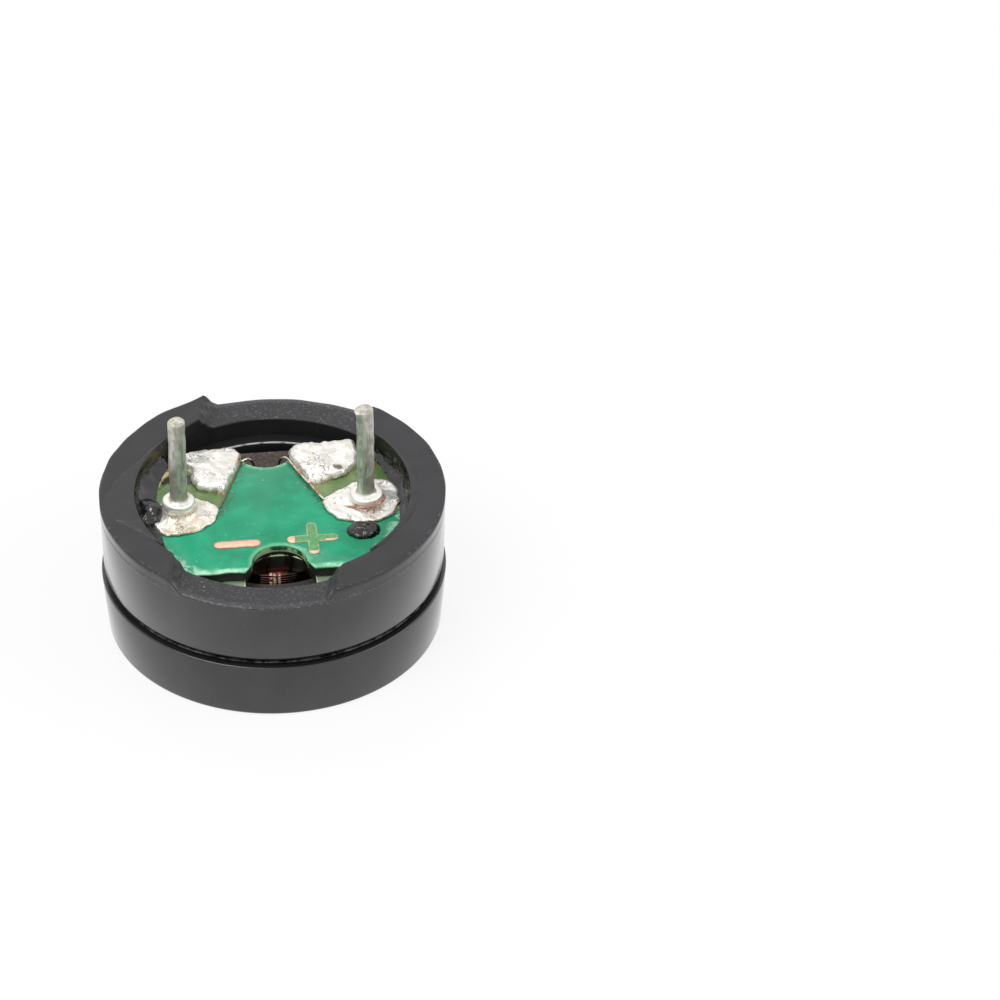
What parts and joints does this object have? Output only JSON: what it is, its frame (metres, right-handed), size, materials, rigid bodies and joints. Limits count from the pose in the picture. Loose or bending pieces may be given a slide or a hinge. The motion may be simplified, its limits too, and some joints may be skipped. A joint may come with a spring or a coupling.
{
  "type": "magnetic buzzer",
  "caption": "Low-profile round magnetic buzzer: split black case with a sound hole, electromagnet, steel diaphragm and a small board with straight polarised pins.",
  "frame": {"origin": "centre of the sound face, on the surface that the buzzer lies on", "axes": "+Z along the case axis, out of the pin side; +X along the pins, from the minus pin to the plus pin"},
  "size_m": [0.012, 0.012, 0.0085],
  "materials": {
    "case_plastic": "satin black moulding with a fine grain",
    "bright_steel": "bright nickel-plated steel",
    "satin_steel": "satin steel",
    "magnet": "dull bonded ferrite",
    "enamelled_wire": "enamelled copper",
    "green_board": "glossy green solder mask",
    "land_copper": "copper under green mask",
    "tinned_pin": "dull tinned wire",
    "solder": "bright uneven solder",
    "black_resin": "wet-looking black resin"
  },
  "bodies": {
    "root": {"front_cap": "case_plastic", "rear_housing": "case_plastic", "diaphragm": "bright_steel", "armature_disc": "satin_steel", "yoke_plate": "bright_steel", "pole_core": "satin_steel", "ring_magnet": "magnet", "coil_winding": "enamelled_wire", "coil_lead_minus": "enamelled_wire", "coil_lead_plus": "enamelled_wire", "circuit_board": "green_board", "copper_pad_minus": "land_copper", "copper_pad_plus": "land_copper", "pin_minus": "tinned_pin", "pin_plus": "tinned_pin", "pin_solder_minus": "solder", "pin_solder_plus": "solder", "wire_solder_minus": "solder", "wire_solder_plus": "solder", "sealant_left": "black_resin", "sealant_right": "black_resin", "epoxy_dot": "black_resin"}
  },
  "joints": []
}
